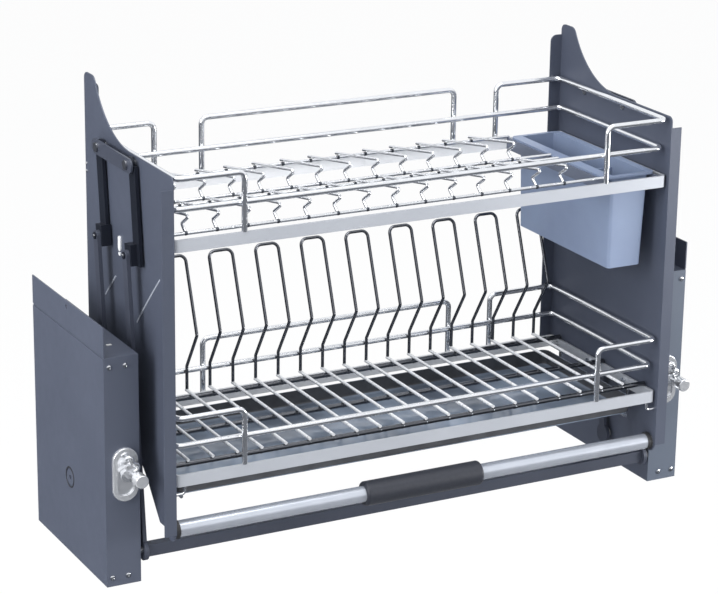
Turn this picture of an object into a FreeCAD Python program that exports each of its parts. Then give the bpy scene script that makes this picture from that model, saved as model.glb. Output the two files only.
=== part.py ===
"""Pull-down dish rack: two side housings fixed inside a wall cabinet, two pairs of parallel arms,
and a carrier of two wire baskets that swings forward and down and stays level.

Millimetres, +Z up, +X to the right, -Y towards the person who pulls the handle.
Every place below is first given with Y = 0 at the housings' front faces, X = 0 midway between them
and Z = 0 at their feet. The last step moves the whole part so that its origin lies at the centre of
the base of its box.
"""

import FreeCAD
import Part

import math
import os

V = FreeCAD.Vector

# Overall places
cabinet_inner_width = 764.0
housing_thickness = 41.0
housing_depth = 214.0
housing_height = 271.0
mount_plate_height = 306.0
arm_room = 24.0

# Sheet and wire sizes
housing_sheet = 1.2
mount_plate_sheet = 1.5
panel_sheet = 1.5
rail_radius = 3.2
rod_radius = 2.0
cross_rod_radius = 3.0
wave_wire_radius = 1.75
rack_wire_radius = 1.9

# Clearances
weld_gap = 0.05
running_clearance = 0.05
open_pivot_clearance = 0.3
seat_gap = 0.3
free_gap = 0.5

# Swing of the arms
front_pivot_y = 8.0
lower_pivot_z = 34.0
pivot_spacing = 84.0
arm_rise = 435.0
arm_lean = 50.0
lower_bar_width = 12.0
lower_bar_thickness = 4.5
lower_bar_gap = 4.5
arm_eye_radius = 12.0
blade_width = 17.0
front_blade_offset = -7.0
rear_blade_offset = 4.0
blade_thickness = 4.0
blade_gap = 2.0
blade_length = 99.7
foot_length = 24.0
lap_bolt_radius = 3.0
lap_bolt_head_radius = 4.0
lap_bolt_head = 1.5
upper_bolt_radius = 3.0
upper_bolt_head_radius = 5.5
upper_bolt_outer_head = 2.0
upper_bolt_nut_radius = 4.0
upper_bolt_inner_nut = 1.2
washer_clearance = 0.3
strap_gap = 1.5
strap_sheet = 2.5
strap_width = 17.0
strap_overhang = 15.0
sync_bar_depth = 12.0
sync_bar_height = 14.0
shaft_radius = 4.0
bush_wall = 1.95
bush_length = 3.8
outer_bush_length = 4.5
shaft_end_gap = 1.0

# Side panels of the carrier
panel_front_y = -46.5
panel_rear_y = 200.5
panel_bottom_z = 68.5
panel_shoulder_z = 479.0
panel_top_z = 543.0
panel_scoop_radius = 110.0
panel_scoop_start_y = 72.0
panel_scoop_sweep = 61.8
panel_corner_radius = 7.0
panel_top_corner_radius = 8.0
panel_bevel_start_y = -3.0
panel_bevel_middle = (33.0, 109.0)
panel_bevel_end_y = 46.0
panel_rear_bottom_z = 120.0
front_flange_width = 14.4
front_flange_top_z = 465.4
rear_flange_width = 17.0
rear_flange_top_z = 529.4
rear_flange_corner = 8.0
stop_tag_sheet = 1.5
stop_tag_width = 6.5
stop_tag_height = 11.0
stop_tag_dot_drop = 6.5
stop_tag_dot_radius = 2.2
stop_tag_y = 101.0
stop_tag_z = 361.0

# Handle
handle_y = -33.0
handle_z = 70.5
handle_radius = 9.5
handle_wall = 1.3
handle_plug_length = 20.0
handle_screw_radius = 3.0
handle_screw_head_radius = 5.0
handle_screw_head = 1.8
handle_ear_radius = 12.5
grip_length = 154.0
grip_radius = 14.5
grip_rounding = 3.0

# Baskets: heights are from the housings' feet
basket_bar_height = 14.0
basket_bar_sheet = 3.0
basket_bar_front_y = -43.0
basket_bar_panel_gap = 1.5
basket_corner_radius = 5.0
upper_bar_z = 394.0
upper_mid_z = 439.5
upper_top_z = 475.0
lower_bar_z = 124.0
lower_mid_z = 169.0
lower_top_z = 203.5
rail_bend = 8.0
mid_rail_bend = 8.0
rail_side_gap = 3.0
front_post_inset = 85.0
back_outer_post_inset = 88.0
back_inner_post_inset = 148.0
back_loop_offset = -7.0
back_post_low = 3.0
rail_stud_length = 4.0
fixing_screw_radius = 2.5
fixing_screw_head_radius = 4.5
fixing_screw_head = 2.5
fixing_spacer_radius = 5.0
fixing_screw_places_y = (20.0, 100.0, 175.0)

# Bowl rack of the upper basket
bowl_wire_pitch = 36.8
bowl_wire_inset = 21.5
bowl_wire_end_gap = 20.0
bowl_rod_places = (186.7, 89.0, 72.0, -28.0)
rod_bar_overlap = 1.0
bowl_rod_rail_overlap = 1.5
bowl_wire_overhang = 5.0
bowl_crest_overhang = 12.0
bowl_crest_rise = 19.5
bowl_curl_back = 11.0
bowl_curl_rise = 8.5
bowl_bend = 2.2

# Plate rack of the lower basket
rack_wire_pitch = 30.2
rack_wire_inset = 24.5
rack_front_y = -23.5
rack_cross_rod_places = (-21.0, 70.0, 172.0)
rack_leg_rise = 28.5
rack_kink_forward = 30.0
rack_kink_rise = 47.5
rack_top_back = 33.0
rack_top_rise = 90.0
rack_bend = 8.0
rack_kink_bend = 3.5

# Cutlery box
box_front_y = -27.0
box_rear_y = 181.0
box_width = 51.0
box_side_gap = 16.5
box_depth = 114.3
box_wall = 2.5
box_rim_left = 12.0
box_rim_right = 7.8
box_rim_front = 4.0
box_rim_rear = 3.0
box_corner_radius = 4.0
box_rim_corner_radius = 8.0
box_taper_left = 1.5
box_taper_right = 4.0
box_taper_front = 2.0
box_taper_rear = 4.0
divider_wall = 2.0
divider_drop = 12.0
divider_places_y = (45.0, 105.0)
box_rail_left_gap = 11.0
box_rail_right_gap = 4.0

# Drip tray and its runners
tray_side_gap = 15.0
tray_front_y = -14.0
tray_rear_y = 184.0
tray_bottom_z = 101.0
tray_top_z = 122.5
tray_wall = 1.6
tray_corner_radius = 9.0
tray_base_rounding = 6.0
tray_lip = 5.0
tray_lip_sheet = 1.6
runner_inset = 6.0
runner_front_y = -12.0
runner_rear_y = 182.0
hanger_places_y = (10.0, 165.0)
hanger_side_gap = 5.0
hanger_reach = 32.0
hanger_bend = 4.0
hook_side_gap = 12.0
hook_low_z = 115.0
hook_wire_radius = 1.6
hook_bend = 4.0

# Housing fittings
wall_hole_radius = 2.75
wall_hole_y = 107.4
wall_boss_z = 94.0
wall_hole_spacing = 205.0
wall_boss_radius = 11.0
wall_boss_sheet = 2.0
wall_boss_depth = 10.0
wall_boss_step = 1.2
plate_groove_width = 2.5
plate_groove_depth = 0.8
cover_screw_radius = 1.7
cover_screw_head_radius = 3.2
cover_screw_head = 1.6
cover_screw_dome = 1.3
cover_screw_length = 9.0
cover_screw_outer_inset = 6.5
cover_screw_pitch = 19.0
cover_screw_bottom_z = 10.5
cover_screw_top_drop = 11.0
fixing_block_inset = 9.0
fixing_block_depth = 5.8
fixing_block_top_drop = 17.0
clip_width = 6.0
clip_length = 3.0
clip_rise = 1.0
clip_depth = 4.0
clip_y = 40.0
damper_radius = 18.0
damper_length = 9.5

# Spring adjuster
crank_inset = 23.0
crank_z = 133.0
escutcheon_width = 30.0
escutcheon_height = 63.0
escutcheon_sheet = 4.0
escutcheon_floor = 1.0
escutcheon_recess_width = 20.0
escutcheon_recess_height = 50.0
adjuster_hole_clearance = 0.3
crank_hub_radius = 7.0
crank_front_y = -8.8
crank_arm_sheet = 4.0
crank_reach = 8.0
crank_pin_radius = 3.0
knob_front_y = -32.0
knob_radius = 7.8
knob_length = 13.0
knob_nose = 1.5
knob_wall = 3.0
adjuster_radius = 4.0
adjuster_rear_y = 118.0
bearing_size = 20.0
bearing_length = 10.0
bearing_front_y = 3.0
nut_width = 16.0
nut_length = 20.0
nut_height = 18.0
nut_stem_radius = 4.0
nut_stem_length = 10.0
spring_crank_reach = 28.0
spring_crank_angle = 135.0
spring_crank_inset = 9.0
spring_crank_sheet = 4.0
spring_crank_width = 7.5
spring_crank_boss_radius = 9.0
spring_pin_radius = 2.5
spring_pin_length = 10.0
spring_radius = 7.5
spring_bore = 5.3
spring_end = 2.2

# Places that follow from the sizes above
outer_x = cabinet_inner_width / 2
housing_inner_x = outer_x - housing_thickness
plate_inner_x = outer_x - mount_plate_sheet
panel_inner_x = housing_inner_x - arm_room
panel_outer_x = panel_inner_x + panel_sheet
blade_x = panel_outer_x + blade_gap
foot_x = blade_x + blade_thickness
strap_x = foot_x + strap_gap
strap_end_x = strap_x + strap_sheet
lower_bar_x = housing_inner_x - lower_bar_gap - lower_bar_thickness
lower_bar_end_x = lower_bar_x + lower_bar_thickness
rear_pivot_y = front_pivot_y + pivot_spacing
upper_front_y = front_pivot_y + arm_lean
upper_rear_y = upper_front_y + pivot_spacing
upper_pivot_z = lower_pivot_z + arm_rise
arm_length = math.hypot(arm_rise, arm_lean)
lap_distance = arm_length - blade_length
shaft_bore = shaft_radius + running_clearance
bush_radius = shaft_bore + bush_wall
basket_side_x = panel_inner_x - basket_bar_panel_gap
basket_inner_x = basket_side_x - basket_bar_sheet
rail_side_x = basket_side_x - rail_side_gap
rail_front_y = basket_bar_front_y + basket_bar_sheet / 2
mid_rail_front_y = rail_front_y + 2 * rail_radius + weld_gap
flange_face_y = panel_rear_y - panel_sheet
back_post_y = flange_face_y - rail_stud_length
basket_rear_y = back_post_y - rail_radius - weld_gap
basket_inner_rear_y = basket_rear_y - basket_bar_sheet
mid_rail_back_y = back_post_y - 2 * rail_radius - weld_gap
front_post_x = panel_inner_x - front_post_inset
back_outer_post_x = panel_inner_x - back_outer_post_inset
back_inner_post_x = panel_inner_x - back_inner_post_inset
upper_bar_top = upper_bar_z + basket_bar_height
lower_bar_top = lower_bar_z + basket_bar_height
bowl_rod_z = upper_bar_top + rod_radius + weld_gap
bowl_wire_z = bowl_rod_z + rod_radius + wave_wire_radius + weld_gap
rack_cross_z = lower_bar_top + cross_rod_radius + weld_gap
rack_floor_z = rack_cross_z + cross_rod_radius + rack_wire_radius + weld_gap
bowl_rod_right_x = panel_inner_x - box_side_gap - box_width - box_rail_left_gap - bowl_rod_rail_overlap
bowl_wire_first_x = bowl_wire_inset - panel_inner_x
bowl_wire_room = bowl_rod_right_x - bowl_wire_end_gap - bowl_wire_first_x
bowl_wire_count = int(bowl_wire_room // bowl_wire_pitch) + 1
rack_wire_first_x = rack_wire_inset - panel_inner_x
rack_loop_count = int((-2 * rack_wire_first_x) // (2 * rack_wire_pitch)) + 1
rack_wire_count = 2 * rack_loop_count
rack_leg_y = mid_rail_back_y - rail_radius - rack_wire_radius - weld_gap
box_right_x = panel_inner_x - box_side_gap
box_left_x = box_right_x - box_width
box_rail_left_x = box_left_x - box_rail_left_gap - basket_bar_sheet
box_rail_right_x = box_right_x + box_rail_right_gap
box_rim_bottom = upper_bar_top + seat_gap
box_rim_top = box_rim_bottom + box_wall
box_bottom_z = box_rim_top - box_depth
tray_half_width = panel_inner_x - tray_side_gap
runner_x = tray_half_width - runner_inset
hanger_x = panel_inner_x - hanger_side_gap
hanger_reach_x = hanger_x - hanger_reach
hook_x = panel_inner_x - hook_side_gap
runner_z = tray_bottom_z - seat_gap - rod_radius
hanger_z = runner_z - 2 * rod_radius - weld_gap
cover_screw_outer_x = outer_x - cover_screw_outer_inset
cover_screw_inner_x = cover_screw_outer_x - cover_screw_pitch
cover_screw_top_z = housing_height - cover_screw_top_drop
fixing_block_inner_x = housing_inner_x + fixing_block_inset
crank_x = outer_x - crank_inset
spring_crank_inner_x = housing_inner_x + spring_crank_inset
wall_hole_top_z = wall_boss_z + wall_hole_spacing
spring_pin_y = rear_pivot_y + spring_crank_reach * math.cos(math.radians(spring_crank_angle))
spring_pin_z = lower_pivot_z + spring_crank_reach * math.sin(math.radians(spring_crank_angle))
front_reach = handle_y - grip_radius
origin_y = (housing_depth + front_reach) / 2


# Shapes that many pieces share


def block(x0, x1, y0, y1, z0, z1):
    return Part.makeBox(x1 - x0, y1 - y0, z1 - z0, V(x0, y0, z0))


def rod(start, end, radius):
    direction = V(*end) - V(*start)
    return Part.makeCylinder(radius, direction.Length, V(*start), direction)


def fused(shapes):
    whole = shapes[0].fuse(shapes[1:])
    return whole.removeSplitter()


def bent_path(points, bends):
    """Straight runs through the points, with an arc of its given radius at each corner."""
    corners = [V(*p) for p in points]
    edges = []
    start = corners[0]
    for before, corner, after, bend in zip(corners, corners[1:], corners[2:], bends):
        back = (before - corner).normalize()
        on = (after - corner).normalize()
        half = back.getAngle(on) / 2
        trim = bend / math.tan(half)
        first = corner + back * trim
        last = corner + on * trim
        middle = (back + on).normalize()
        centre = corner + middle * (bend / math.sin(half))
        edges.append(Part.LineSegment(start, first).toShape())
        edges.append(Part.Arc(first, centre - middle * bend, last).toShape())
        start = last
    edges.append(Part.LineSegment(start, corners[-1]).toShape())
    return Part.Wire(edges)


def bent_wire(points, radius, bend):
    """A round wire along the points; bend is one radius for every corner, or a list of them."""
    bends = bend if isinstance(bend, list) else [bend] * len(points)
    path = bent_path(points, bends)
    direction = V(*points[1]) - V(*points[0])
    ring = Part.Wire(Part.makeCircle(radius, V(*points[0]), direction))
    return path.makePipeShell([ring], True, False)


def plate_from_outline(edges, x0, x1):
    """A flat plate whose outline lies in the YZ plane, from x0 to x1."""
    face = Part.Face(Part.Wire(Part.__sortEdges__(edges)))
    plate = face.extrude(V(x1 - x0, 0, 0))
    plate.translate(V(x0, 0, 0))
    return plate


def link_plate(ya, za, yb, zb, width, x0, x1):
    """A strip with round ends, in the YZ plane, from one centre to the other."""
    along = V(0, yb - ya, zb - za)
    side = V(0, -along.z, along.y).normalize() * (width / 2)
    tip = V(0, along.y, along.z).normalize() * (width / 2)
    a = V(0, ya, za)
    b = V(0, yb, zb)
    edges = [
        Part.LineSegment(a + side, b + side).toShape(),
        Part.Arc(b + side, b + tip, b - side).toShape(),
        Part.LineSegment(b - side, a - side).toShape(),
        Part.Arc(a - side, a - tip, a + side).toShape(),
    ]
    return plate_from_outline(edges, x0, x1)


def mirrored(shape):
    return shape.mirror(V(0, 0, 0), V(1, 0, 0))


def along_arm(pivot_y, distance):
    """A point on an arm's centre line, that far from its lower pivot."""
    share = distance / arm_length
    return pivot_y + arm_lean * share, lower_pivot_z + arm_rise * share


def arm_strip(line_y, start, end, width, x0, x1):
    """A straight strip with square ends, parallel to the arms, whose centre line passes through line_y."""
    ya, za = along_arm(line_y, start)
    yb, zb = along_arm(line_y, end)
    along = V(0, yb - ya, zb - za)
    side = V(0, -along.z, along.y).normalize() * (width / 2)
    a = V(x0, ya, za)
    b = V(x0, yb, zb)
    outline = Part.makePolygon([a + side, b + side, b - side, a - side, a + side])
    return Part.Face(outline).extrude(V(x1 - x0, 0, 0))


def along_x(y, z, x0, x1, radius):
    return rod((x0, y, z), (x1, y, z), radius)


def along_y(x, z, y0, y1, radius):
    return rod((x, y0, z), (x, y1, z), radius)


def upright_edges(shape, height):
    return [e for e in shape.Edges if e.BoundBox.ZLength > height / 2]


def rounded_slab(x0, x1, y0, y1, z0, z1, corner):
    slab = block(x0, x1, y0, y1, z0, z1)
    return slab.makeFillet(corner, upright_edges(slab, z1 - z0))


# Housings: every piece is made for the right side


def mount_plate():
    """Flat steel plate against the cabinet's side wall; its upper band stands above the housing."""
    lower = block(plate_inner_x, outer_x, housing_sheet, housing_depth, 0, housing_height)
    band = block(plate_inner_x, outer_x, 0, housing_depth, housing_height, mount_plate_height)
    plate = fused([lower, band])
    groove_z = housing_height - plate_groove_width / 2
    groove_top = groove_z + plate_groove_width
    groove = block(outer_x - plate_groove_depth, outer_x, 0, housing_depth, groove_z, groove_top)
    plate = plate.cut(groove)
    plate = plate.cut(along_x(wall_hole_y, wall_hole_top_z, plate_inner_x, outer_x, wall_hole_radius))
    return plate.cut(along_x(wall_hole_y, wall_boss_z, plate_inner_x, outer_x, wall_boss_radius + weld_gap))


def wall_boss():
    """Round cup with a stepped rim, flush with the mount plate, that takes the lower wall screw."""
    inner_x = outer_x - wall_boss_depth
    cup = along_x(wall_hole_y, wall_boss_z, inner_x, outer_x, wall_boss_radius)
    hollow_radius = wall_boss_radius - wall_boss_sheet
    cup = cup.cut(along_x(wall_hole_y, wall_boss_z, inner_x, outer_x - wall_boss_sheet, hollow_radius))
    step_x = outer_x - plate_groove_depth
    step = along_x(wall_hole_y, wall_boss_z, step_x, outer_x, wall_boss_radius)
    step = step.cut(along_x(wall_hole_y, wall_boss_z, step_x, outer_x, wall_boss_radius - wall_boss_step))
    return cup.cut(step).cut(along_x(wall_hole_y, wall_boss_z, inner_x, outer_x, wall_hole_radius))


def cover_screw_places():
    heights = (cover_screw_bottom_z, cover_screw_top_z)
    return [(x, z) for x in (cover_screw_outer_x, cover_screw_inner_x) for z in heights]


def housing_shell():
    """Folded steel box, open to the front and to the mount plate, with two blocks for the cover's screws."""
    sheet = housing_sheet
    shell = block(housing_inner_x, plate_inner_x, sheet, housing_depth, 0, housing_height)
    inside = block(
        housing_inner_x + sheet,
        plate_inner_x,
        sheet,
        housing_depth - sheet,
        sheet,
        housing_height - sheet,
    )
    shell = shell.cut(inside)
    block_rear_y = sheet + fixing_block_depth
    top_block_z = housing_height - fixing_block_top_drop
    blocks = [
        block(fixing_block_inner_x, plate_inner_x, sheet, block_rear_y, 0, fixing_block_top_drop),
        block(fixing_block_inner_x, plate_inner_x, sheet, block_rear_y, top_block_z, housing_height),
    ]
    shell = fused([shell] + blocks)
    for pivot_y in (front_pivot_y, rear_pivot_y):
        hole_end = housing_inner_x + sheet
        shell = shell.cut(along_x(pivot_y, lower_pivot_z, housing_inner_x, hole_end, bush_radius + weld_gap))
    for x, z in cover_screw_places():
        shell = shell.cut(along_y(x, z, sheet, cover_screw_length + weld_gap, cover_screw_radius + weld_gap))
    slot = clip_block(weld_gap)
    return shell.cut(slot)


def clip_block(extra):
    """The top clip's outline, grown by a clearance."""
    half_x = clip_width / 2 + extra
    half_y = clip_length / 2 + extra
    top = housing_height + clip_rise
    low = housing_height - clip_depth
    return block(crank_x - half_x, crank_x + half_x, clip_y - half_y, clip_y + half_y, low, top)


def front_cover():
    """Flat front plate of the housing, with the hole for the adjuster screw."""
    cover = block(housing_inner_x, outer_x, 0, housing_sheet, 0, housing_height)
    for x, z in cover_screw_places():
        cover = cover.cut(along_y(x, z, 0, housing_sheet, cover_screw_radius + weld_gap))
    return cover.cut(along_y(crank_x, crank_z, 0, housing_sheet, adjuster_radius + adjuster_hole_clearance))


def cover_screws():
    """Dome-headed screws that hold the front cover to the shell's blocks."""
    screws = []
    for x, z in cover_screw_places():
        head = along_y(x, z, -cover_screw_head, 0, cover_screw_head_radius)
        rim = [e for e in head.Edges if e.BoundBox.YMax < -cover_screw_head / 2]
        head = head.makeFillet(cover_screw_dome, rim)
        shank = along_y(x, z, 0, cover_screw_length, cover_screw_radius)
        screws.append(fused([head, shank]))
    return screws


def stadium(width, height, y0, y1):
    half = width / 2
    rise = (height - width) / 2
    body = block(crank_x - half, crank_x + half, y0, y1, crank_z - rise, crank_z + rise)
    ends = [along_y(crank_x, z, y0, y1, half) for z in (crank_z - rise, crank_z + rise)]
    return fused([body] + ends)


def crank_escutcheon():
    """Chrome surround of the adjuster, dished inside its rim."""
    plate = stadium(escutcheon_width, escutcheon_height, -escutcheon_sheet, 0)
    rim = [e for e in plate.Edges if e.BoundBox.YMax < -escutcheon_sheet / 2]
    plate = plate.makeFillet(escutcheon_floor, rim)
    dish = (escutcheon_recess_width, escutcheon_recess_height, -escutcheon_sheet, -escutcheon_floor)
    plate = plate.cut(stadium(*dish))
    hole_radius = adjuster_radius + adjuster_hole_clearance
    return plate.cut(along_y(crank_x, crank_z, -escutcheon_sheet, 0, hole_radius))


def pivot_bushes():
    """A bush in the inner wall and a bearing ring on the mount plate, for each lower shaft."""
    bushes = []
    for pivot_y in (front_pivot_y, rear_pivot_y):
        for x0, x1 in (
            (housing_inner_x - seat_gap, housing_inner_x - seat_gap + bush_length),
            (plate_inner_x - outer_bush_length, plate_inner_x),
        ):
            ring = along_x(pivot_y, lower_pivot_z, x0, x1, bush_radius)
            bushes.append(ring.cut(along_x(pivot_y, lower_pivot_z, x0, x1, shaft_bore)))
    return bushes


def rotary_damper():
    """Round damper on the mount plate's bearing ring, which slows the rear shaft."""
    x1 = plate_inner_x - outer_bush_length
    case = along_x(rear_pivot_y, lower_pivot_z, x1 - damper_length, x1, damper_radius)
    return case.cut(along_x(rear_pivot_y, lower_pivot_z, x1 - damper_length, x1, shaft_bore))


def adjuster_bearings():
    """Two blocks on the inner wall, bored for the adjuster screw."""
    half = bearing_size / 2
    wall_x = housing_inner_x + housing_sheet
    blocks = []
    for y0 in (bearing_front_y, adjuster_rear_y - bearing_length):
        body = block(wall_x, crank_x + half, y0, y0 + bearing_length, crank_z - half, crank_z + half)
        bore = along_y(crank_x, crank_z, y0, y0 + bearing_length, adjuster_radius + running_clearance)
        blocks.append(body.cut(bore))
    return blocks


def balance_spring():
    """Balance spring as its closed sleeve, from the nut's stem down to the pin of the spring crank."""
    top = crank_z - nut_height / 2 - nut_stem_length - weld_gap
    bottom = spring_pin_z + spring_crank_width / 2 + seat_gap
    sleeve = rod((crank_x, spring_pin_y, bottom), (crank_x, spring_pin_y, top), spring_radius)
    hollow = rod(
        (crank_x, spring_pin_y, bottom + spring_end),
        (crank_x, spring_pin_y, top - spring_end),
        spring_bore,
    )
    return sleeve.cut(hollow)


# Spring adjuster: both cranks point to the right, so the left one is moved across, not mirrored


def crank_arm():
    """Chrome crank: a hub in the surround's dish, a short arm and the knob's pin."""
    hub_rear_y = -escutcheon_floor - free_gap
    arm_rear_y = crank_front_y + crank_arm_sheet
    pin_x = crank_x + crank_reach
    hub = along_y(crank_x, crank_z, crank_front_y, hub_rear_y, crank_hub_radius)
    arm = block(
        crank_x,
        pin_x,
        crank_front_y,
        arm_rear_y,
        crank_z - crank_hub_radius,
        crank_z + crank_hub_radius,
    )
    eye = along_y(pin_x, crank_z, crank_front_y, arm_rear_y, crank_hub_radius)
    pin = along_y(pin_x, crank_z, knob_front_y + knob_wall + free_gap, crank_front_y, crank_pin_radius)
    return fused([hub, arm, eye, pin])


def crank_knob():
    """Round peg that turns freely on the crank's pin."""
    pin_x = crank_x + crank_reach
    barrel = along_y(pin_x, crank_z, knob_front_y, knob_front_y + knob_length, knob_radius)
    nose = [e for e in barrel.Edges if e.BoundBox.YMax < knob_front_y + weld_gap]
    barrel = barrel.makeFillet(knob_nose, nose)
    bore_radius = crank_pin_radius + running_clearance
    bore = along_y(pin_x, crank_z, knob_front_y + knob_wall, knob_front_y + knob_length, bore_radius)
    return barrel.cut(bore)


def adjuster_screw():
    """Screw that the crank turns; the spring nut travels along it."""
    return along_y(crank_x, crank_z, weld_gap - escutcheon_floor - free_gap, adjuster_rear_y, adjuster_radius)


def spring_nut():
    """Nut block on the adjuster screw, with the stem that holds the spring's upper end."""
    half_y = nut_length / 2
    body = block(
        crank_x - nut_width / 2,
        crank_x + nut_width / 2,
        spring_pin_y - half_y,
        spring_pin_y + half_y,
        crank_z - nut_height / 2,
        crank_z + nut_height / 2,
    )
    bore_radius = adjuster_radius + running_clearance
    body = body.cut(along_y(crank_x, crank_z, spring_pin_y - half_y, spring_pin_y + half_y, bore_radius))
    stem_top = crank_z - nut_height / 2
    stem = rod(
        (crank_x, spring_pin_y, stem_top - nut_stem_length),
        (crank_x, spring_pin_y, stem_top),
        nut_stem_radius,
    )
    return fused([body, stem])


# Arms


def lap_hole(pivot_y):
    y, z = along_arm(pivot_y, lap_distance)
    return along_x(y, z, blade_x, lower_bar_end_x, lap_bolt_radius + weld_gap)


def arm_bar(pivot_y):
    """Slim flat bar from the lower pivot up to the lap joint, with a round eye at its foot."""
    top_y, top_z = along_arm(pivot_y, lap_distance)
    bar = link_plate(
        pivot_y, lower_pivot_z, top_y, top_z, lower_bar_width, lower_bar_x, lower_bar_end_x
    )
    eye = along_x(pivot_y, lower_pivot_z, lower_bar_x, lower_bar_end_x, arm_eye_radius)
    return fused([bar, eye]).cut(lap_hole(pivot_y))


def pivot_shaft(pivot_y):
    """Shaft welded to the arm's eye; it turns in the housing's bushes."""
    end_x = plate_inner_x - shaft_end_gap
    return along_x(pivot_y, lower_pivot_z, lower_bar_end_x + weld_gap, end_x, shaft_radius)


def upper_blade(pivot_y, offset, bore_clearance):
    """Flat blade from the lap joint up to the upper pivot, with the thick foot of the lap."""
    foot_start = lap_distance - foot_length / 2
    foot_end = lap_distance + foot_length / 2
    top_y, top_z = along_arm(pivot_y, arm_length)
    blade = arm_strip(pivot_y + offset, foot_start, arm_length, blade_width, blade_x, foot_x)
    head = along_x(top_y, top_z, blade_x, foot_x, blade_width / 2)
    foot = arm_strip(pivot_y, foot_start, foot_end, blade_width, blade_x, lower_bar_x - weld_gap)
    blade = fused([blade, head, foot]).cut(lap_hole(pivot_y))
    return blade.cut(along_x(top_y, top_z, blade_x, foot_x, upper_bolt_radius + bore_clearance))


def lap_bolt(pivot_y):
    """Bolt through blade, foot and bar, with its head outside."""
    y, z = along_arm(pivot_y, lap_distance)
    head = along_x(y, z, lower_bar_end_x, lower_bar_end_x + lap_bolt_head, lap_bolt_head_radius)
    return fused([head, along_x(y, z, blade_x, lower_bar_end_x, lap_bolt_radius)])


def sync_bar():
    """Rectangular tube between the front arms' eyes, so that both sides swing together."""
    half_x = lower_bar_x - weld_gap
    y0 = front_pivot_y - sync_bar_depth / 2
    y1 = front_pivot_y + sync_bar_depth / 2
    z0 = lower_pivot_z - sync_bar_height / 2
    z1 = lower_pivot_z + sync_bar_height / 2
    wall = panel_sheet
    bar = block(-half_x, half_x, y0, y1, z0, z1)
    return bar.cut(block(-half_x, half_x, y0 + wall, y1 - wall, z0 + wall, z1 - wall))


def spring_crank():
    """Short crank on the rear shaft; its pin pulls the spring down as the rack comes down."""
    x0 = spring_crank_inner_x
    x1 = x0 + spring_crank_sheet
    plate = link_plate(
        rear_pivot_y, lower_pivot_z, spring_pin_y, spring_pin_z, spring_crank_width, x0, x1
    )
    boss = along_x(rear_pivot_y, lower_pivot_z, x0, x1, spring_crank_boss_radius)
    pin = along_x(spring_pin_y, spring_pin_z, x1, x1 + spring_pin_length, spring_pin_radius)
    crank = fused([plate, boss, pin])
    return crank.cut(along_x(rear_pivot_y, lower_pivot_z, x0, x1, shaft_radius + weld_gap))


# Carrier


def panel_outline():
    """The side panel's outline, from its low front corner round to the back and over the top."""
    centre = V(0, panel_scoop_start_y, panel_shoulder_z + panel_scoop_radius)

    def on_scoop(sweep):
        turn = math.radians(sweep)
        return centre + V(0, math.sin(turn), -math.cos(turn)) * panel_scoop_radius

    scoop_end = on_scoop(panel_scoop_sweep)
    slope = math.radians(panel_scoop_sweep)
    trim = (panel_top_z - scoop_end.z) / math.sin(slope)
    nose_radius = trim / math.tan(slope / 2)
    flat_y = scoop_end.y + trim * (1 + math.cos(slope))
    half_turn = slope / 2
    nose_centre = V(0, flat_y, panel_top_z - nose_radius)
    nose_middle = nose_centre + V(0, -math.sin(half_turn), math.cos(half_turn)) * nose_radius
    corner = panel_corner_radius
    corner_centre = V(0, panel_front_y + corner, panel_shoulder_z - corner)
    corner_middle = corner_centre + V(0, -1, 1).normalize() * corner
    low_front = V(0, panel_front_y, panel_bottom_z)
    bevel_start = V(0, panel_bevel_start_y, panel_bottom_z)
    bevel_middle = V(0, *panel_bevel_middle)
    bevel_end = V(0, panel_bevel_end_y, panel_rear_bottom_z)
    low_rear = V(0, panel_rear_y, panel_rear_bottom_z)
    top_corner = panel_top_corner_radius
    top_centre = V(0, panel_rear_y - top_corner, panel_top_z - top_corner)
    top_middle = top_centre + V(0, 1, 1).normalize() * top_corner
    high_rear = V(0, panel_rear_y, panel_top_z - top_corner)
    top_rear = V(0, panel_rear_y - top_corner, panel_top_z)
    top_start = V(0, flat_y, panel_top_z)
    scoop_start = on_scoop(0)
    shoulder = V(0, panel_front_y + corner, panel_shoulder_z)
    high_front = V(0, panel_front_y, panel_shoulder_z - corner)
    return [
        Part.LineSegment(low_front, bevel_start).toShape(),
        Part.LineSegment(bevel_start, bevel_middle).toShape(),
        Part.LineSegment(bevel_middle, bevel_end).toShape(),
        Part.LineSegment(bevel_end, low_rear).toShape(),
        Part.LineSegment(low_rear, high_rear).toShape(),
        Part.Arc(high_rear, top_middle, top_rear).toShape(),
        Part.LineSegment(top_rear, top_start).toShape(),
        Part.Arc(top_start, nose_middle, scoop_end).toShape(),
        Part.Arc(scoop_end, on_scoop(panel_scoop_sweep / 2), scoop_start).toShape(),
        Part.LineSegment(scoop_start, shoulder).toShape(),
        Part.Arc(shoulder, corner_middle, high_front).toShape(),
        Part.LineSegment(high_front, low_front).toShape(),
    ]


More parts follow.
